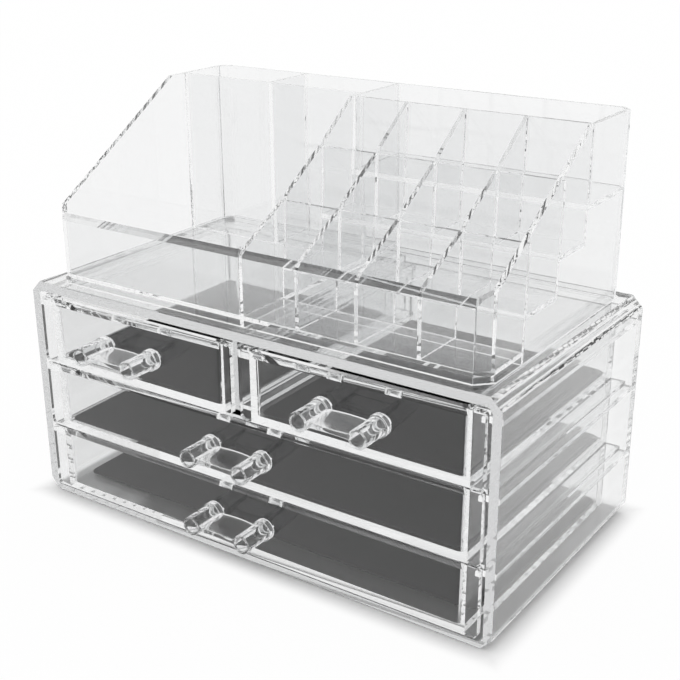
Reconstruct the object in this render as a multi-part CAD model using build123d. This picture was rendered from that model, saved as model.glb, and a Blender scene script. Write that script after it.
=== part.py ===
from build123d import *
from math import radians, tan
import os

os.makedirs("parts", exist_ok=True)

# Millimetres, +Z up, origin at the middle of the base. X runs across the front,
# Y from the open front (negative) to the closed back.

# Case
case_width = 238.0
case_depth = 130.0
case_height = 105.0
case_chamfer = 5.0        # the four long edges that run front to back
side_wall = 4.0
bottom_wall = 2.8
back_wall = 2.5
top_panel = 2.4           # clear panel under the tray
recess_depth = 2.0        # the tray drops this far into the top
opening_radius = 2.5      # inner corners of the open front

# Tiers of drawers
tiers = 3
base_clearance = 0.4      # lowest front above the case floor
tier_gap = 0.6            # between the fronts of two tiers
top_slit = 2.6            # above the highest front

# Rails and the hanging divider
rail_width = 5.5
rail_height = 2.8
rail_round = 1.0
rail_clearance = 0.3      # drawer flange above its rail
divider_x = -1.3          # middle of the divider
divider_web = 2.4
divider_rail_width = 4.2
divider_foot_width = 10.4
divider_foot_height = 1.8
divider_drop = 30.2       # from the ceiling down to the foot

# Drawers
drawer_shift = -1.0       # the drawers lie a little to the left in their play
front_wall = 3.0
front_corner = 2.0
front_side_gap = 1.6      # front to the case wall
front_divider_gap = 1.3   # front to the divider
front_bevel_height = 3.8  # inner top edge of the front
front_bevel_depth = 2.2
box_wall = 2.1
box_floor = 2.6
box_corner = 3.0
box_rail_gap = 2.2        # box side to the edge of a rail of the case
box_divider_gap = 1.4     # box side to the edge of a rail of the divider
box_back_gap = 1.5
box_draft = 1.0           # degrees, inside of the box
flange_height = 2.0
flange_wall_gap = 1.3

# Pads
pad_height = 1.0
pad_side_gap = 0.8
pad_end_gap = 2.0
bottom_pad_short = 8.5    # the lowest pad is cut shorter at the front
pad_corner = 3.0

# Handles
tube_diameter = 8.4
tube_bore = 6.0
tube_spacing = 27.0
handle_shift = -1.2       # off the middle of the front
tube_bevel = 0.4
collar_diameter = 9.6
collar_length = 3.0
handle_reach = 16.5       # from the front of the drawer
spigot_diameter = 7.0
spigot_clearance = 0.15
bore_end = 1.5
web_height = 3.2          # at the tubes
web_dish = 0.5            # hollow of its upper and lower face
web_arch = 2.4            # its rear edge bows towards the drawer

# Tray
tray_width = 217.4
tray_clearance = 0.9      # to the edge of the recess in the case
tray_front_inset = 7.0    # behind the front of the case
tray_back_inset = 2.0
tray_height = 82.3
tray_wall = 2.2
tray_floor = 2.0
tray_foot = 3.5           # lowest floor above the case top
tray_front_corner = 5.6
tray_back_corner = 4.1
pocket_radius = 1.2
sheet = 1.8               # the thin dividers between the slots
main_divider_x = -4.0
main_divider = 2.0
left_wall_y = 32.0        # cross wall behind the large compartment
left_split_x = -56.0
rear_corner = 9.0

# Steps of the lipstick slots: where each cross wall stands, its top above the
# case top, and how far the floor of its row lies above the tray's lowest floor.
front_wall_top = 30.4
step_y = (-28.0, -0.8, 23.0)
step_top = (47.2, 64.9, tray_height)
step_floor = (0.0, 14.2, 30.0, 44.5)
step_lean = 1.5           # each cross wall leans back towards its top
notch_rise = 2.6          # small steep kink of a divider behind each cross wall
notch_run = 1.8
side_start = 3.3          # side walls start this far above the front wall
side_start_run = 2.5
side_end_y = 22.0         # the slope of the side walls ends here

# Places derived from the sizes above
half_opening = case_width / 2 - side_wall
front_y = -case_depth / 2
back_y = case_depth / 2 - back_wall
case_top = case_height - recess_depth
ceiling = case_top - top_panel
front_height = (ceiling - bottom_wall - base_clearance - top_slit - (tiers - 1) * tier_gap) / tiers
tier_pitch = front_height + tier_gap
rail_front_y = front_y + front_wall + tier_gap
divider_face = divider_web / 2
tray_front_y = front_y + tray_front_inset
tray_back_y = -front_y - tray_back_inset
tray_side = tray_width / 2
tray_top = case_top + tray_height
low_floor = case_top + tray_foot + tray_floor


def tier_base(tier):
    """Height of the underside of a drawer, counted from the lowest tier."""
    return bottom_wall + base_clearance + tier * tier_pitch


def rail_top(tier):
    """Height of the face that carries the drawers of a tier."""
    return tier_base(tier) + front_height - flange_height - rail_clearance


def block(x0, x1, y0, y1, z0, z1):
    """Box between two corners."""
    return Pos((x0 + x1) / 2, (y0 + y1) / 2, (z0 + z1) / 2) * Box(x1 - x0, y1 - y0, z1 - z0)


def across(points, x0, x1):
    """Prism of a closed outline of (y, z) points, from x0 to x1."""
    face = Plane.YZ.offset(x0) * make_face(Polyline(*points, close=True))
    return extrude(face, x1 - x0, dir=(1, 0, 0))


def along(sketch, y0, y1):
    """Prism of a sketch drawn in x and z, from y0 back to y1."""
    return extrude(Plane.XZ.offset(-y0) * sketch, y1 - y0, dir=(0, 1, 0))


def rail(face_x, reach, tier):
    """Ledge on a wall at face_x, reaching towards positive or negative x."""
    top = rail_top(tier)
    edge_x = face_x + reach
    bar = block(min(face_x, edge_x), max(face_x, edge_x), rail_front_y, back_y, top - rail_height, top)
    rounded = bar.edges().filter_by(Axis.Y).sort_by(lambda e: abs(e.center().X - edge_x) - e.center().Z)[0]
    return fillet(rounded, rail_round)


def case_shell():
    """Chamfered sleeve with a closed back, a recess for the tray and rails on both sides."""
    outer = chamfer(Rectangle(case_width, case_height).vertices(), case_chamfer)
    body = along(Pos(0, case_height / 2) * outer, front_y, -front_y)
    hollow = RectangleRounded(2 * half_opening, ceiling - bottom_wall, opening_radius)
    body -= along(Pos(0, (ceiling + bottom_wall) / 2) * hollow, front_y, back_y)
    body -= tray_outline(tray_clearance, case_top, case_height)
    for tier in range(tiers):
        body += rail(half_opening, -rail_width, tier)
        body += rail(-half_opening, rail_width, tier)
    return body


def divider():
    """Hanging divider between the two top drawers, with their inner rails and a foot."""
    top_tier = tiers - 1
    low = ceiling - divider_drop
    web = block(divider_x - divider_face, divider_x + divider_face, front_y, back_y, low, ceiling)
    half_foot = divider_foot_width / 2
    foot_top = low + divider_foot_height
    web += block(divider_x - half_foot, divider_x + half_foot, rail_front_y, back_y, low, foot_top)
    web += rail(divider_x + divider_face, divider_rail_width, top_tier)
    web += rail(divider_x - divider_face, -divider_rail_width, top_tier)
    return web


def side_of_wall(side):
    """Drawer side next to a case wall: x of the flange, of the front and of the box."""
    flange = side * (half_opening - flange_wall_gap)
    front = side * (half_opening - front_side_gap)
    box = side * (half_opening - rail_width - box_rail_gap)
    return flange + drawer_shift, front + drawer_shift, box + drawer_shift


def side_of_divider(side):
    """Drawer side next to the divider: x of the flange, of the front and of the box."""
    middle = divider_x + drawer_shift
    flange = side * (divider_face + flange_wall_gap)
    front = side * (divider_face + front_divider_gap)
    box = side * (divider_face + divider_rail_width + box_divider_gap)
    return middle + flange, middle + front, middle + box


def drawer(left, right, tier):
    """Open box that hangs by the flanges along its two sides, with a wider front."""
    low = tier_base(tier)
    top = low + front_height
    inner_front = front_y + front_wall
    box_back = back_y - box_back_gap
    middle = (left[1] + right[1]) / 2
    panel = RectangleRounded(right[1] - left[1], front_height, front_corner)
    body = along(Pos(middle, (low + top) / 2) * panel, front_y, inner_front)
    body += block(left[2], right[2], inner_front, box_back, low, top)
    flange_low = top - flange_height
    body += block(left[0], right[0], rail_front_y, box_back, flange_low, top)
    body -= drawer_hollow(left, right, inner_front, box_back - box_wall, low + box_floor, top)
    bevel = ((inner_front, top), (inner_front, top - front_bevel_height), (inner_front - front_bevel_depth, top))
    body -= across(bevel, left[2] + box_wall, right[2] - box_wall)
    for side in (-1, 1):
        hole = Cylinder(spigot_diameter / 2 + spigot_clearance, front_wall)
        place = Pos(handle_x(left, right) + side * tube_spacing / 2, front_y + front_wall / 2, (low + top) / 2)
        body -= place * Rot(90, 0, 0) * hole
    return body


def drawer_hollow(left, right, y0, y1, z0, z1):
    """Inside of a drawer, a little wider at the top than at its floor."""
    plan = RectangleRounded(right[2] - left[2] - 2 * box_wall, y1 - y0, box_corner)
    face = Pos((left[2] + right[2]) / 2, (y0 + y1) / 2, z1) * plan
    return extrude(face, z1 - z0, dir=(0, 0, -1), taper=box_draft)


def handle_x(left, right):
    """Middle of the handle on a drawer's front."""
    return (left[1] + right[1]) / 2 + handle_shift


def handle(left, right, tier):
    """Two hollow tubes with collars, joined by a dished web whose rear edge is bowed."""
    spacing = tube_spacing / 2
    shape = handle_web()
    for side in (-1, 1):
        tube = Pos(side * spacing, 0, 0) * Rot(90, 0, 0) * handle_tube()
        shape += tube
    for side in (-1, 1):
        depth = handle_reach + front_wall - bore_end
        bore = Pos(side * spacing, 0, 0) * Rot(90, 0, 0) * Cylinder(tube_bore / 2, depth)
        shape -= Pos(0, depth / 2 - handle_reach, 0) * bore
    height = tier_base(tier) + front_height / 2
    return Pos(handle_x(left, right), front_y, height) * shape


def handle_tube():
    """Spigot, collar and tube as one turned profile; its axis is z, the drawer front is z = 0."""
    profile = Polyline(
        (0, -front_wall),
        (spigot_diameter / 2, -front_wall),
        (spigot_diameter / 2, 0),
        (collar_diameter / 2, 0),
        (collar_diameter / 2, collar_length),
        (tube_diameter / 2, collar_length),
        (tube_diameter / 2, handle_reach),
        (0, handle_reach),
        close=True,
    )
    turned = revolve(Plane.XZ * make_face(profile), Axis.Z)
    rim = turned.edges().filter_by(GeomType.CIRCLE).group_by(Axis.Z)[-1]
    return chamfer(rim, tube_bevel)


def handle_web():
    """Plate between the tubes: hollow faces in x and z, straight front and bowed rear in plan."""
    half = tube_spacing / 2
    edge = web_height / 2
    waist = edge - web_dish
    outline = make_face([
        ThreePointArc((-half, edge), (0, waist), (half, edge)),
        Line((half, edge), (half, -edge)),
        ThreePointArc((half, -edge), (0, -waist), (-half, -edge)),
        Line((-half, -edge), (-half, edge)),
    ])
    plate = along(outline, -handle_reach, 0)
    shoulder = -collar_length
    plan = make_face([
        ThreePointArc((-half, shoulder), (0, shoulder + web_arch), (half, shoulder)),
        Line((half, shoulder), (half, -handle_reach + tube_bevel)),
        Line((half, -handle_reach + tube_bevel), (-half, -handle_reach + tube_bevel)),
        Line((-half, -handle_reach + tube_bevel), (-half, shoulder)),
    ])
    return plate & extrude(plan, web_height, both=True)


def pad(left, right, tier):
    """Thin liner on the floor of a drawer."""
    taper = (front_height - box_floor) * tan(radians(box_draft))
    inner_left = left[2] + box_wall + taper + pad_side_gap
    inner_right = right[2] - box_wall - taper - pad_side_gap
    y0 = front_y + front_wall + pad_end_gap
    if tier == 0:
        y0 += bottom_pad_short
    y1 = back_y - box_back_gap - box_wall - pad_end_gap
    plan = RectangleRounded(inner_right - inner_left, y1 - y0, pad_corner)
    place = Pos((inner_left + inner_right) / 2, (y0 + y1) / 2, tier_base(tier) + box_floor)
    return extrude(place * plan, pad_height)


def tray_outline(margin, z0, z1):
    """Prism of the tray's plan, with its cut corners, grown or, if negative, shrunk by a margin."""
    side = tray_side + margin
    front = tray_front_y - margin
    back = tray_back_y + margin
    front_cut = tray_front_corner + margin * (2 - 2 ** 0.5)
    back_cut = tray_back_corner + margin * (2 - 2 ** 0.5)
    plan = make_face(Polyline(
        (-side, front + front_cut),
        (-side + front_cut, front),
        (side - front_cut, front),
        (side, front + front_cut),
        (side, back - back_cut),
        (side - back_cut, back),
        (-side + back_cut, back),
        (-side, back - back_cut),
        close=True,
    ))
    return extrude(Pos(0, 0, z0) * plan, z1 - z0)


def side_line():
    """Upper edge of the side walls, from the front wall to the start of the flat top."""
    front_top = case_top + front_wall_top
    return [
        (tray_front_y, front_top),
        (tray_front_y + side_start_run, front_top + side_start),
        (side_end_y, tray_top),
    ]


def divider_line():
    """Upper edge of the dividers: a slope with a small steep kink behind each cross wall."""
    front_top = case_top + front_wall_top
    line = [
        (tray_front_y, front_top),
        (tray_front_y + tray_wall, front_top),
        (tray_front_y + tray_wall + notch_run, front_top + notch_rise),
    ]
    for y, top in zip(step_y[:-1], step_top[:-1]):
        level = case_top + top
        line += [(y, level), (y + sheet, level), (y + sheet + notch_run, level + notch_rise)]
    return line + [(step_y[-1], tray_top)]


def slot_space():
    """Open space of one column of slots: stepped floors with the cross walls standing between."""
    y_front = tray_front_y + tray_wall
    floors = [low_floor + rise for rise in step_floor]
    points = [(y_front, floors[0])]
    for index, y in enumerate(step_y[:-1]):
        level = case_top + step_top[index]
        points.append((y - step_lean, floors[index]))
        points.append((y, level))
        points.append((y + sheet, level))
        points.append((y + sheet - step_lean / 2, floors[index + 1]))
    points.append((step_y[-1] - step_lean, floors[len(step_y) - 1]))
    points.append((step_y[-1], tray_top))
    above = tray_top + tray_wall
    points += [(step_y[-1], above), (tray_front_y - tray_wall, above)]
    points += [(tray_front_y - tray_wall, case_top + front_wall_top), (y_front, case_top + front_wall_top)]
    return points


def underside_space():
    """Open space below the stepped floors, one floor thickness under them."""
    y_back = tray_back_y - tray_wall
    ceilings = [low_floor + rise - tray_floor for rise in step_floor]
    points = [(step_y[0] - step_lean + sheet, case_top)]
    for index, y in enumerate(step_y):
        foot = y - step_lean + sheet
        points.append((foot, ceilings[index + 1]))
        if index + 1 < len(step_y):
            points.append((step_y[index + 1] - step_lean + sheet, ceilings[index + 1]))
    return points + [(y_back, ceilings[-1]), (y_back, case_top)]


def tray_pocket(x0, x1, y0, y1, floor, rear_radius=0.0):
    """One straight compartment, open above."""
    pocket = block(x0, x1, y0, y1, floor, tray_top)
    upright = pocket.edges().filter_by(Axis.Z)
    pocket = fillet(upright, pocket_radius)
    if rear_radius:
        corner = block(x0, x0 + rear_radius, y1 - rear_radius, y1, floor, tray_top)
        corner -= Pos(x0 + rear_radius, y1 - rear_radius, (floor + tray_top) / 2) * Cylinder(
            rear_radius, tray_top - floor)
        pocket -= corner
    return pocket


def tray():
    """Stepped tray, one moulding: large compartment at the left, rows of slots at the right."""
    inner = tray_side - tray_wall
    y_front = tray_front_y + tray_wall
    y_back = tray_back_y - tray_wall
    above = tray_top + tray_wall
    beyond = tray_front_y - tray_wall
    body = tray_outline(0, case_top, tray_top)
    lid = side_line() + [(side_end_y, above), (beyond, above), (beyond, side_line()[0][1])]
    body -= across(lid, -tray_side, tray_side)
    inside = tray_outline(-tray_wall, case_top, above)
    lower = divider_line()
    lid = lower + [(lower[-1][0], above), (beyond, above), (beyond, lower[0][1])]
    body -= across(lid, main_divider_x - main_divider / 2, inner) & inside
    left_edge = main_divider_x - main_divider / 2
    cross = sheet / 2
    body -= tray_pocket(-inner, left_edge, y_front, left_wall_y - cross, low_floor) & inside
    body -= tray_pocket(-inner, left_split_x - cross, left_wall_y + cross, y_back, low_floor, rear_corner)
    body -= tray_pocket(left_split_x + cross, left_edge, left_wall_y + cross, y_back, low_floor)
    right_edge = main_divider_x + main_divider / 2
    slots = len(step_floor)
    slot_width = (inner - right_edge - (slots - 1) * sheet) / slots
    for index in range(slots):
        x0 = right_edge + index * (slot_width + sheet)
        body -= across(slot_space(), x0, x0 + slot_width) & inside
    rear_y = step_y[-1] + sheet
    body -= tray_pocket(right_edge, inner, rear_y, y_back, low_floor + step_floor[-1]) & inside
    body -= across(underside_space(), right_edge, inner) & inside
    under = low_floor - tray_floor
    body -= block(-inner, left_edge, y_front, y_back, case_top, under) & inside
    body -= block(right_edge, inner, y_front, step_y[0] - step_lean, case_top, under) & inside
    return body


top = tiers - 1
wall_left = side_of_wall(-1)
wall_right = side_of_wall(1)
bays = {
    "top_left": (wall_left, side_of_divider(-1), top),
    "top_right": (side_of_divider(1), wall_right, top),
    "middle": (wall_left, wall_right, top - 1),
    "bottom": (wall_left, wall_right, top - 2),
}

export_step(case_shell(), "parts/case_shell.step")
export_step(divider(), "parts/centre_divider.step")
export_step(tray(), "parts/stepped_tray.step")
for name, bay in bays.items():
    export_step(drawer(*bay), "parts/" + name + "_drawer.step")
    export_step(handle(*bay), "parts/" + name + "_handle.step")
    export_step(pad(*bay), "parts/" + name + "_pad.step")
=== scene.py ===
import math

import bmesh
import bpy
import numpy as np
from mathutils import Matrix, Vector


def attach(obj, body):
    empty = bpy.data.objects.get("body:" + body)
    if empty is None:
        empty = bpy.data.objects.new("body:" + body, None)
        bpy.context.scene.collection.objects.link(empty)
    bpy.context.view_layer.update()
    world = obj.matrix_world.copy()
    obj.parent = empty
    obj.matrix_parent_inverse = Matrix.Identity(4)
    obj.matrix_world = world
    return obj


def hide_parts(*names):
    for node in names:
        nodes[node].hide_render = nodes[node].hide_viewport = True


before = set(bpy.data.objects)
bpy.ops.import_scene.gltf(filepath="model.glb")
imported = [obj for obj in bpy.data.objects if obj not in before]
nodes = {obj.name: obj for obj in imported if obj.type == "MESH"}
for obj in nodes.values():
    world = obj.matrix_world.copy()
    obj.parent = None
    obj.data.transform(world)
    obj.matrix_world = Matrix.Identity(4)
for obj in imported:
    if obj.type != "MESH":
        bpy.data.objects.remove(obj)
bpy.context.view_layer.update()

# ---------------------------------------------------------------------------
# The case: a clear sleeve with cut long edges, a closed back, rails inside and a divider hung between the
# top drawers. Injection moulded in polished acrylic, with the rim round the tray's recess in one piece;
# the melt shows a faint unevenness, and handling has left a little haze.

MERGE_WITHIN = 0.00001
EDGE_ROUND = 0.0002       # radius of the moulded edges
HAIR_OF_AIR = 0.00003     # how far each skin stays inside its solid
SHARP_EDGE = math.radians(40)
FRONT_PLANE = -0.065
RIM_DEPTH = 0.0007        # the painted shade on the rim starts this far behind the front
RIM_BLEND = 0.0006        # and the painted shade blends in over this length


def moulded_face():
    """Node group for clear mouldings. Tint is two near-white tones mixed by a slow noise, haze is a fine
    noise of which only the peaks count, raised from zero to a small roughness."""
    group = bpy.data.node_groups.new("moulded_face", "ShaderNodeTree")
    face = group.interface
    tones = (("Clear Tint", (0.946, 0.951, 0.953, 1.0)), ("Dense Tint", (0.928, 0.936, 0.94, 1.0)))
    for label, tone in tones:
        face.new_socket(label, in_out="INPUT", socket_type="NodeSocketColor").default_value = tone
    for label, value in (("Flow Scale", 9.0), ("Haze Roughness", 0.012)):
        face.new_socket(label, in_out="INPUT", socket_type="NodeSocketFloat").default_value = value
    face.new_socket("Tint", in_out="OUTPUT", socket_type="NodeSocketColor")
    face.new_socket("Roughness", in_out="OUTPUT", socket_type="NodeSocketFloat")
    new, link = group.nodes.new, group.links.new
    inside, outside, place = new("NodeGroupInput"), new("NodeGroupOutput"), new("ShaderNodeTexCoord")
    flow = new("ShaderNodeTexNoise")
    flow.inputs["Detail"].default_value = 1.0
    link(place.outputs["Object"], flow.inputs["Vector"])
    link(inside.outputs["Flow Scale"], flow.inputs["Scale"])
    tint = new("ShaderNodeMix")
    tint.data_type = "RGBA"
    link(flow.outputs["Fac"], tint.inputs["Factor"])
    link(inside.outputs["Clear Tint"], tint.inputs["A"])
    link(inside.outputs["Dense Tint"], tint.inputs["B"])
    link(tint.outputs["Result"], outside.inputs["Tint"])
    smear = new("ShaderNodeTexNoise")
    smear.inputs["Scale"].default_value = 60.0
    smear.inputs["Detail"].default_value = 5.0
    link(place.outputs["Object"], smear.inputs["Vector"])
    haze = new("ShaderNodeMapRange")
    haze.inputs["From Min"].default_value = 0.55
    haze.inputs["From Max"].default_value = 0.8
    haze.inputs["To Min"].default_value = 0.0
    link(smear.outputs["Fac"], haze.inputs["Value"])
    link(inside.outputs["Haze Roughness"], haze.inputs["To Max"])
    link(haze.outputs["Result"], outside.inputs["Roughness"])
    return group


moulding = moulded_face()


def clear_acrylic(name, clear, dense, flow_scale, haze):
    """Polished clear moulding that refracts at 1.49."""
    material = bpy.data.materials.new(name)
    material.use_nodes = True
    tree = material.node_tree
    shader = tree.nodes["Principled BSDF"]
    shader.inputs["Transmission Weight"].default_value = 1.0
    shader.inputs["IOR"].default_value = 1.49
    face = tree.nodes.new("ShaderNodeGroup")
    face.node_tree = moulding
    face.inputs["Clear Tint"].default_value = (*clear, 1.0)
    face.inputs["Dense Tint"].default_value = (*dense, 1.0)
    face.inputs["Flow Scale"].default_value = flow_scale
    face.inputs["Haze Roughness"].default_value = haze
    tree.links.new(face.outputs["Tint"], shader.inputs["Base Color"])
    tree.links.new(face.outputs["Roughness"], shader.inputs["Roughness"])
    return material


def painted_shade_front_edge(material):
    """Paints shade on the case's cut front rim, a grey that stands in for the darker light the rim shows: a
    mask that rises just before the front plane blends the moulding's tint with that painted grey."""
    tree = material.node_tree
    link = tree.links.new
    shader = tree.nodes["Principled BSDF"]
    moulded = shader.inputs["Base Color"].links[0].from_socket
    place, split, rim, blend = (
        tree.nodes.new("ShaderNode" + kind) for kind in ("TexCoord", "SeparateXYZ", "MapRange", "Mix")
    )
    link(place.outputs["Object"], split.inputs["Vector"])
    link(split.outputs["Y"], rim.inputs["Value"])
    rim.inputs["From Min"].default_value = FRONT_PLANE + RIM_DEPTH
    rim.inputs["From Max"].default_value = FRONT_PLANE + RIM_DEPTH - RIM_BLEND
    blend.data_type = "RGBA"
    # painted shade: the grey that the front rim is blended towards
    blend.inputs["B"].default_value = (0.45, 0.455, 0.46, 1.0)
    link(rim.outputs["Result"], blend.inputs["Factor"])
    link(moulded, blend.inputs["A"])
    link(blend.outputs["Result"], shader.inputs["Base Color"])


def dressed(name, mesh, material, body, node):
    """Puts a finished mesh into the scene in the place of a CAD node, on the body that carries it."""
    mesh.materials.clear()
    mesh.materials.append(material)
    piece = bpy.data.objects.new(name, mesh)
    bpy.context.scene.collection.objects.link(piece)
    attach(piece, body)
    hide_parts(node)
    return piece


def moulding_skin(node, name, body, material):
    """Skin of a clear moulding, from its CAD solid: its points merged, its sharp edges rounded, and every
    point moved against its normal by a hair, so that touching pieces keep a little air."""
    skin = bmesh.new()
    skin.from_mesh(nodes[node].data)
    bmesh.ops.remove_doubles(skin, verts=skin.verts, dist=MERGE_WITHIN)
    sharp = [e for e in skin.edges if len(e.link_faces) == 2 and e.calc_face_angle(0) > SHARP_EDGE]
    bmesh.ops.bevel(skin, geom=sharp, offset=EDGE_ROUND, offset_type="OFFSET", segments=2, profile=0.5,
                    affect="EDGES", clamp_overlap=True)
    mesh = bpy.data.meshes.new(name)
    skin.to_mesh(mesh)
    skin.free()
    mesh.shade_flat()
    points, normals = np.empty((2, len(mesh.vertices) * 3))
    mesh.vertices.foreach_get("co", points)
    mesh.vertex_normals.foreach_get("vector", normals)
    mesh.vertices.foreach_set("co", points - normals * HAIR_OF_AIR)
    mesh.update()
    return dressed(name, mesh, material, body, node)


case_acrylic = clear_acrylic("case_acrylic", (0.947, 0.949, 0.949), (0.93, 0.933, 0.934), 9.0, 0.01)
# paints shade on the case's front rim, greying it just behind the front plane
painted_shade_front_edge(case_acrylic)
moulding_skin("case_shell", "case_moulding", "case", case_acrylic)
moulding_skin("centre_divider", "divider_moulding", "case", case_acrylic)

# ---------------------------------------------------------------------------
# The stepped tray: one clear moulding with thin walls that stands loose in the
# recess on the case. Its walls look a little greyer than the case's.

tray_acrylic = clear_acrylic("tray_acrylic", (0.936, 0.938, 0.939), (0.918, 0.921, 0.923), 12.0, 0.012)
moulding_skin("stepped_tray", "tray_moulding", "tray", tray_acrylic)

# ---------------------------------------------------------------------------
# The drawers: four clear boxes, each moulded in one with its front and with
# the flanges by which it hangs on the rails.

places = ("top_left", "top_right", "middle", "bottom")
drawer_acrylic = clear_acrylic("drawer_acrylic", (0.947, 0.949, 0.95), (0.93, 0.933, 0.935), 10.0, 0.012)
for place in places:
    moulding_skin(place + "_drawer", place + "_box", place + "_drawer", drawer_acrylic)

# ---------------------------------------------------------------------------
# The handles: two hollow tubes with a collar and a spigot each, joined by a
# plate that is thinner in the middle. One clear moulding, pressed into two
# holes of the drawer's front. Sizes in mm; y = 0 is the face of the front.

REACH = 16.5              # from the drawer's front to the ends of the tubes
TUBE_X = 13.5             # half the spacing of the tubes
TUBE, BORE, COLLAR, SPIGOT = 4.2, 3.0, 4.8, 3.5      # radii
BORE_TAPER = 0.1
COLLAR_LENGTH = 3.0
SPIGOT_END, BORE_END = 2.97, 1.5
COLLAR_AIR = 0.04         # between the collar and the drawer's front
TURN = 72                 # steps round a tube
EASE_STEPS = 7            # points of an eased corner
PLATE_END = 10.1          # the plate ends inside the tubes' walls
PLATE_CUTS = 61
PLATE_CORNER = 0.45
PLATE_SET_BACK = 0.4
PLATE_WAIST, PLATE_SPREAD, PLATE_BOW = 1.1, 0.5, 2.4
FLARE, FLARE_LENGTH = 0.5, 0.35

handle_acrylic = clear_acrylic("handle_acrylic", (0.952, 0.955, 0.956), (0.937, 0.941, 0.943), 40.0, 0.006)


def eased_line(outline):
    """Line through the inner corners of an outline of (radius, y, ease). Each corner becomes a curve that
    starts and ends its ease before and after it: the squares of the shares of start and end, and twice
    their product for the corner itself."""
    corner, ease = outline[1:-1, :2], outline[1:-1, 2:]
    before, after = outline[:-2, :2] - corner, outline[2:, :2] - corner
    start = corner + before / np.linalg.norm(before, axis=1, keepdims=True) * ease
    end = corner + after / np.linalg.norm(after, axis=1, keepdims=True) * ease
    t = np.linspace(0, 1, EASE_STEPS)[:, None, None]
    curve = (1 - t) ** 2 * start + 2 * t * (1 - t) * corner + t * t * end
    return curve.transpose(1, 0, 2).reshape(-1, 2)


def turned_tube(x):
    """Spigot, collar, tube and bore as one outline turned about a line along y at x: each point of the
    outline goes round at its own radius. The outline starts and ends on the axis."""
    outline = np.array((
        (0, SPIGOT_END, 0), (SPIGOT, SPIGOT_END, 0.3), (SPIGOT, -COLLAR_AIR, 0.1),
        (COLLAR, -COLLAR_AIR, 0.25), (COLLAR, -COLLAR_LENGTH, 0.45), (TUBE, -COLLAR_LENGTH, 0.3),
        (TUBE, -REACH, 0.58), (BORE, -REACH, 0.58), (BORE - BORE_TAPER, BORE_END, 0.8), (0, BORE_END, 0),
    ))
    radius, y = eased_line(outline).T[:, :, None]
    angle = np.arange(TURN) * 2 * math.pi / TURN
    points = np.stack(np.broadcast_arrays(x + radius * np.cos(angle), y, radius * np.sin(angle)), axis=-1)
    points = np.vstack((points.reshape(-1, 3), (x, SPIGOT_END, 0), (x, BORE_END, 0)))
    index = np.arange(len(points) - 2).reshape(-1, TURN)
    after = np.roll(index, -1, axis=1)
    quads = np.stack((index[:-1], after[:-1], after[1:], index[1:]), axis=-1).reshape(-1, 4)
    spigot_tip, bore_tip = np.full(TURN, len(points) - 2), np.full(TURN, len(points) - 1)
    spigot_fan = np.stack((spigot_tip, after[0], index[0]), axis=-1)
    bore_fan = np.stack((bore_tip, index[-1], after[-1]), axis=-1)
    return points, quads.tolist() + spigot_fan.tolist() + bore_fan.tolist()


def web_plate():
    """Plate between the tubes, built from cuts across x. Each cut is a rectangle with round corners: its
    half height grows with the square of x and flares towards the tubes, and its rear end follows a bow."""
    x = np.linspace(-PLATE_END, PLATE_END, PLATE_CUTS)[:, None]
    spread = (x / TUBE_X) ** 2
    half = PLATE_WAIST + PLATE_SPREAD * spread + FLARE * np.exp((np.abs(x) - PLATE_END) / FLARE_LENGTH)
    front, rear = PLATE_SET_BACK - REACH, PLATE_BOW * (1 - spread) - COLLAR_LENGTH
    turn = np.radians(np.array((0, 90, 180, 270))[:, None] + np.linspace(0, 90, EASE_STEPS)).ravel()
    at_rear = np.repeat((True, False, False, True), EASE_STEPS)
    above = np.repeat((1, 1, -1, -1), EASE_STEPS)
    y = np.where(at_rear, rear - PLATE_CORNER, front + PLATE_CORNER) + PLATE_CORNER * np.cos(turn)
    z = above * (half - PLATE_CORNER) + PLATE_CORNER * np.sin(turn)
    points = np.stack(np.broadcast_arrays(x, y, z), axis=-1).reshape(-1, 3)
    index = np.arange(len(points)).reshape(PLATE_CUTS, -1)
    after = np.roll(index, -1, axis=1)
    quads = np.stack((index[:-1], index[1:], after[1:], after[:-1]), axis=-1).reshape(-1, 4)
    return points, quads.tolist() + [index[0].tolist(), index[-1][::-1].tolist()]


def shaped_mesh(name, points, faces):
    """Mesh from points in mm."""
    mesh = bpy.data.meshes.new(name)
    mesh.from_pydata((np.asarray(points) / 1000).tolist(), [], faces)
    mesh.validate()
    return mesh


def moulded_handle():
    """Both tubes and the plate joined into one skin."""
    body, *tubes = (
        bpy.data.objects.new("handle_part", shaped_mesh("handle_part", *shape))
        for shape in (web_plate(), turned_tube(-TUBE_X), turned_tube(TUBE_X))
    )
    for part in (body, *tubes):
        bpy.context.scene.collection.objects.link(part)
    for tube in tubes:
        joined = body.modifiers.new("join", "BOOLEAN")
        joined.operation = "UNION"
        joined.solver = "EXACT"
        joined.object = tube
    bpy.context.view_layer.update()
    done = bpy.data.meshes.new_from_object(body.evaluated_get(bpy.context.evaluated_depsgraph_get()))
    for part in (body, *tubes):
        bpy.data.objects.remove(part)
    return done


def node_box(name):
    """Lowest and highest corner of a CAD node, in metres."""
    vertices = nodes[name].data.vertices
    points = np.empty(len(vertices) * 3)
    vertices.foreach_get("co", points)
    points = points.reshape(-1, 3)
    return points.min(axis=0), points.max(axis=0)


handle_mesh = moulded_handle()
handle_points = np.empty(len(handle_mesh.vertices) * 3)
handle_mesh.vertices.foreach_get("co", handle_points)
for place in places:
    drawer = place + "_drawer"
    low, high = node_box(place + "_handle")
    seat = (low + high) / 2
    seat[1] = low[1] + REACH / 1000
    mesh = handle_mesh.copy()
    mesh.vertices.foreach_set("co", (handle_points.reshape(-1, 3) + seat).ravel())
    mesh.shade_smooth()
    mesh.set_sharp_from_angle(angle=SHARP_EDGE)
    dressed(place + "_handle_moulding", mesh, handle_acrylic, drawer, place + "_handle")

# ---------------------------------------------------------------------------
# The pads: black felt-like liners, nearly 1 mm thick, cut with round corners and
# laid loose on the drawers' floors, where they are never quite flat. In metres.

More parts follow.
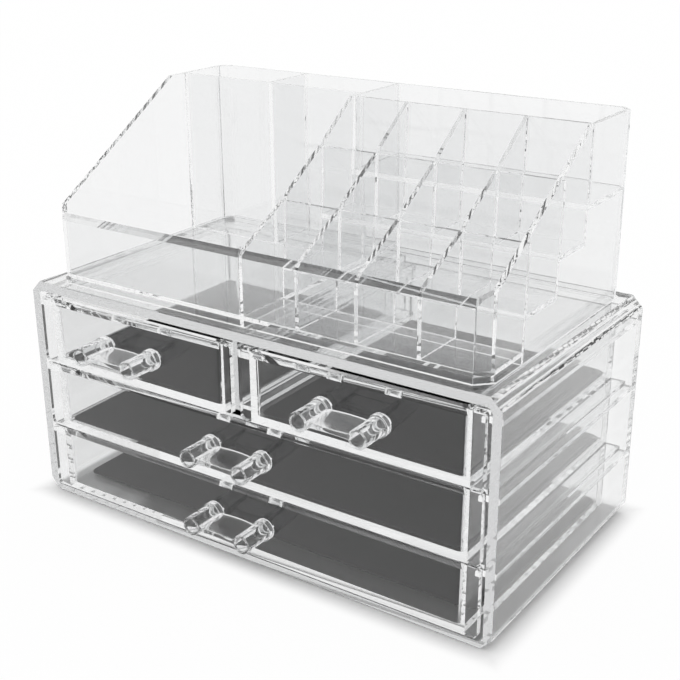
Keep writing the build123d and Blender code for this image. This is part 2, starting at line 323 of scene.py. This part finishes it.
FELT_THICK = 0.00092
FELT_AIR = 0.00006        # under the lowest point of a pad
FELT_WAVE = 0.00005
FELT_CORNER = 0.003
FELT_EDGE = 0.00025       # how far the cut edge is rounded in
CURL, CURL_OF_LOWEST = 0.0003, 0.0012
CURL_REACH = 0.034        # from the corner to the line where it starts to lift


def combined(tree, operation, first, second):
    """Output of a Math node on two sockets, or on a socket and a number."""
    node = tree.nodes.new("ShaderNodeMath")
    node.operation = operation
    tree.links.new(first, node.inputs[0])
    if isinstance(second, float):
        node.inputs[1].default_value = second
    else:
        tree.links.new(second, node.inputs[1])
    return node.outputs["Value"]


def black_felt():
    """Matt black liner: two sizes of fibre noise in colour and height, a little paler where it is rubbed."""
    material = bpy.data.materials.new("black_felt")
    material.use_nodes = True
    tree = material.node_tree
    new, link = tree.nodes.new, tree.links.new
    shader = tree.nodes["Principled BSDF"]
    place, fibre, rub = new("ShaderNodeTexCoord"), new("ShaderNodeTexNoise"), new("ShaderNodeTexNoise")
    for noise, scale, detail in ((fibre, 1400.0, 3.0), (rub, 45.0, 4.0)):
        noise.inputs["Scale"].default_value = scale
        noise.inputs["Detail"].default_value = detail
        link(place.outputs["Object"], noise.inputs["Vector"])
    colour = new("ShaderNodeMix")
    colour.data_type = "RGBA"
    colour.inputs["A"].default_value = (0.003, 0.003, 0.0032, 1.0)
    colour.inputs["B"].default_value = (0.02, 0.02, 0.021, 1.0)
    link(combined(tree, "MULTIPLY", fibre.outputs["Fac"], rub.outputs["Fac"]), colour.inputs["Factor"])
    link(colour.outputs["Result"], shader.inputs["Base Color"])
    shader.inputs["Roughness"].default_value = 0.9
    shader.inputs["Specular IOR Level"].default_value = 0.15
    bump = new("ShaderNodeBump")
    bump.inputs["Strength"].default_value = 0.4
    bump.inputs["Distance"].default_value = 0.0002
    link(fibre.outputs["Fac"], bump.inputs["Height"])
    link(bump.outputs["Normal"], shader.inputs["Normal"])
    return material


def grid_line(length, steps):
    """Places along one side of a sheet: five close steps in each corner, even ones between."""
    border = np.linspace(0, FELT_CORNER, 6)
    middle = np.linspace(FELT_CORNER, length - FELT_CORNER, steps)[1:-1]
    return np.concatenate((border, middle, length - border[::-1]))


def felt_sheet(low, high, curl):
    """Sheet in metres over the rectangle low to high. A grid runs across it; in the cells nearest each
    corner the square is drawn in to a quarter circle. The underside rises by a few sines of x and y, and
    near the rear left corner by curl times the square of the distance past the line where it lifts."""
    width, length = high[0] - low[0], high[1] - low[1]
    gx, gy = np.meshgrid(grid_line(width, 72), grid_line(length, 52), indexing="ij")
    px, py = gx - width / 2, gy - length / 2
    a = np.clip((np.abs(px) - width / 2 + FELT_CORNER) / FELT_CORNER, 0, 1)
    b = np.clip((np.abs(py) - length / 2 + FELT_CORNER) / FELT_CORNER, 0, 1)
    px = np.sign(px) * (np.abs(px) - FELT_CORNER * a * (1 - np.sqrt(1 - b * b / 2)))
    py = np.sign(py) * (np.abs(py) - FELT_CORNER * b * (1 - np.sqrt(1 - a * a / 2)))
    middle_x, middle_y = (low[0] + high[0]) / 2, (low[1] + high[1]) / 2
    x, y = px + middle_x, py + middle_y
    waves = 1 + 0.5 * np.sin(61 * x + 23 * y + width * 40) + 0.5 * np.sin(47 * y - 31 * x + length * 50)
    past = np.clip(py - px - (length + width) / 2 + CURL_REACH, 0, None) / CURL_REACH
    rise = low[2] + FELT_WAVE * waves + curl * past ** 2

    def layer(inset, share):
        """The grid, drawn in at its edge and raised by a share of the thickness."""
        at_x = middle_x + px * (1 - 2 * inset / width)
        at_y = middle_y + py * (1 - 2 * inset / length)
        return np.stack((at_x, at_y, rise + share * FELT_THICK), axis=-1).reshape(-1, 3)

    index = np.arange(gx.size).reshape(gx.shape)
    rim = np.concatenate((index[:, 0], index[-1, 1:], index[-2::-1, -1], index[0, -2:0:-1]))
    points = np.vstack((layer(FELT_EDGE, 0), layer(FELT_EDGE, 1), layer(0, 0.25)[rim], layer(0, 0.75)[rim]))
    under = np.stack((index[:-1, :-1], index[:-1, 1:], index[1:, 1:], index[1:, :-1]), axis=-1).reshape(-1, 4)
    first_side = 2 * gx.size + np.arange(len(rim))
    bands = [rim, first_side, first_side + len(rim), gx.size + rim]
    sides = [
        np.stack((lower, np.roll(lower, -1), np.roll(upper, -1), upper), axis=-1)
        for lower, upper in zip(bands[:-1], bands[1:])
    ]
    return points, np.vstack((under, gx.size + under[:, [0, 3, 2, 1]], *sides)).tolist()


felt = black_felt()
for place in places:
    low, high = node_box(place + "_pad")
    low[2] += FELT_AIR
    points, faces = felt_sheet(low, high, CURL_OF_LOWEST if place == "bottom" else CURL)
    mesh = shaped_mesh(place + "_felt", points * 1000, faces)
    mesh.shade_smooth()
    liner = dressed(place + "_felt", mesh, felt, place + "_drawer", place + "_pad")

# ---------------------------------------------------------------------------
# The studio: white paper on the floor and a white room all round. Away from
# the object the paper shows as white as the room; near it, its shadow stays.

PAPER_REACH, PAPER_DROP = 6000, 0.4      # mm
FOOTPRINT = (("X", 0.119), ("Y", 0.067))     # half sizes in metres
SHADOW_FROM, SHADOW_TO = -0.003, 0.009   # from the edge of the footprint, in metres
WHITE_SHARE = 0.965


def white_paper():
    """Matt white, mixed to plain white for what the camera sees directly, mirrored or through the acrylic:
    none of it under the object, most of it 9 mm outside the object's outline."""
    material = bpy.data.materials.new("white_paper")
    material.use_nodes = True
    tree = material.node_tree
    new, link = tree.nodes.new, tree.links.new
    shader = tree.nodes["Principled BSDF"]
    shader.inputs["Base Color"].default_value = (0.93, 0.93, 0.93, 1.0)
    shader.inputs["Roughness"].default_value = 1.0
    shader.inputs["Specular IOR Level"].default_value = 0.0
    place, split = new("ShaderNodeTexCoord"), new("ShaderNodeSeparateXYZ")
    link(place.outputs["Object"], split.inputs["Vector"])
    beyond = []
    for axis, half in FOOTPRINT:
        size = new("ShaderNodeMath")
        size.operation = "ABSOLUTE"
        link(split.outputs[axis], size.inputs[0])
        beyond.append(combined(tree, "SUBTRACT", size.outputs["Value"], half))
    clear = new("ShaderNodeMapRange")
    clear.interpolation_type = "SMOOTHSTEP"
    clear.inputs["From Min"].default_value = SHADOW_FROM
    clear.inputs["From Max"].default_value = SHADOW_TO
    clear.inputs["To Max"].default_value = WHITE_SHARE
    link(combined(tree, "MAXIMUM", *beyond), clear.inputs["Value"])
    path = new("ShaderNodeLightPath")
    seen = combined(tree, "MAXIMUM", path.outputs["Is Camera Ray"], path.outputs["Is Glossy Ray"])
    seen = combined(tree, "MAXIMUM", seen, path.outputs["Is Transmission Ray"])
    glow = new("ShaderNodeEmission")
    glow.inputs["Color"].default_value = (1.0, 1.0, 1.0, 1.0)
    mix = new("ShaderNodeMixShader")
    link(combined(tree, "MULTIPLY", clear.outputs["Result"], seen), mix.inputs["Fac"])
    link(shader.outputs["BSDF"], mix.inputs[1])
    link(glow.outputs["Emission"], mix.inputs[2])
    link(mix.outputs["Shader"], tree.nodes["Material Output"].inputs["Surface"])
    return material


square = np.array(((-1, -1, 0), (1, -1, 0), (1, 1, 0), (-1, 1, 0)))
paper = shaped_mesh("floor", square * PAPER_REACH - (0, 0, PAPER_DROP), [(0, 1, 2, 3)])
floor = bpy.data.objects.new("floor", paper)
bpy.context.scene.collection.objects.link(floor)
floor.data.materials.append(white_paper())

world = bpy.data.worlds.new("studio")
bpy.context.scene.world = world
world.use_nodes = True
sky = world.node_tree.nodes["Background"]
sky.inputs["Color"].default_value = (1.0, 1.0, 1.0, 1.0)
sky.inputs["Strength"].default_value = 1.0

# ---------------------------------------------------------------------------
# The camera: 64 mm lens on a 36 mm sensor, to the right of the front and above.
# Light crosses many clear walls on its way, so its paths are long.

azimuth = math.radians(34.708)
elevation = math.radians(21.412)
roll = math.radians(-0.346)
distance = 0.53853
target = Vector((0.00506, 0.0, 0.081345))
right = Vector((math.cos(azimuth), math.sin(azimuth), 0))
back = Vector((
    math.sin(azimuth) * math.cos(elevation),
    -math.cos(azimuth) * math.cos(elevation),
    math.sin(elevation),
))
up = back.cross(right)
level_right = right * math.cos(roll) + up * math.sin(roll)
level_up = up * math.cos(roll) - right * math.sin(roll)
camera_data = bpy.data.cameras.new("camera")
camera_data.lens = 63.99
camera_data.sensor_width = 36.0
camera_data.clip_start = 0.01
camera = bpy.data.objects.new("camera", camera_data)
bpy.context.scene.collection.objects.link(camera)
pose = Matrix((level_right, level_up, back)).transposed().to_4x4()
pose.translation = target + back * distance
camera.matrix_world = pose
bpy.context.scene.camera = camera

bpy.context.scene.view_settings.view_transform = "Standard"
MOST_BOUNCES = 128
cycles = bpy.context.scene.cycles
cycles.max_bounces = MOST_BOUNCES
cycles.glossy_bounces = MOST_BOUNCES
cycles.transmission_bounces = MOST_BOUNCES
cycles.transparent_max_bounces = MOST_BOUNCES
